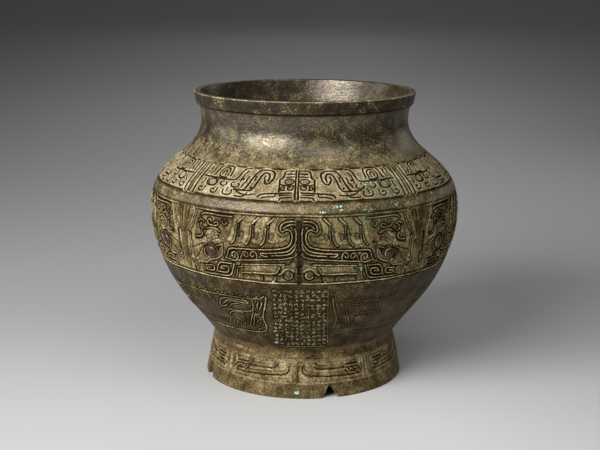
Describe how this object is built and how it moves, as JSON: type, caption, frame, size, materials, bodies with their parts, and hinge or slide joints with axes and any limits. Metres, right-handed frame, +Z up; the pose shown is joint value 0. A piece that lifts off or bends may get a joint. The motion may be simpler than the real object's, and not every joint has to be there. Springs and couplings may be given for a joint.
{
  "type": "ritual vessel",
  "caption": "Round-bellied bronze vessel with a wide neck, thick lip and flaring foot ring, carved in four bands round the body.",
  "frame": {"origin": "centre of the foot ring's underside", "axes": "+Z up along the turned body's axis; -Y is the front, the middle of the main band's panel above the inscription"},
  "size_m": [0.3662, 0.3662, 0.34],
  "materials": {
    "bronze": "dark olive-brown patinated bronze, worn on the high parts, with light earthy deposits in the carving"
  },
  "bodies": {
    "root": {"vessel": "bronze"}
  },
  "joints": []
}
